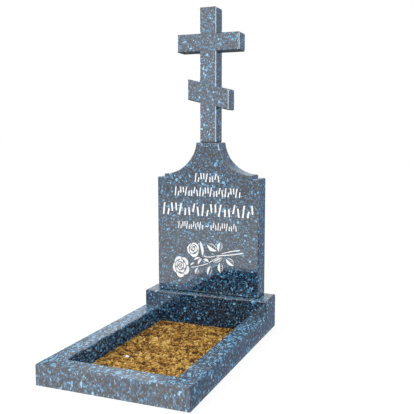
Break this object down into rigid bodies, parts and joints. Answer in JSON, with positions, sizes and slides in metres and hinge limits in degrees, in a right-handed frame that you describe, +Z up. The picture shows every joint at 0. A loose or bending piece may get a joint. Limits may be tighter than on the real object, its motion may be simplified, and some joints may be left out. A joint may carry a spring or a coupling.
{
  "type": "cross headstone",
  "caption": "Granite memorial: a cross with a slanted lower bar on an engraved, shouldered stele, with plinth, kerb boards and a sand bed.",
  "frame": {"origin": "on the ground, at the middle of the footprint of plinth and kerb", "axes": "+Z up; +Y towards the back, from the kerb's front board to the plinth; the engraved front faces -Y; +X to the right of someone who faces it"},
  "size_m": [0.6, 1, 1.4506],
  "materials": {
    "granite": "polished dark granite with bright blue crystals, white paint in the engraving",
    "sand": "loose coarse golden sand"
  },
  "bodies": {
    "root": {"cross": "granite", "stele": "granite", "plinth": "granite", "left_board": "granite", "right_board": "granite", "front_board": "granite", "sand_bed": "sand"}
  },
  "joints": []
}
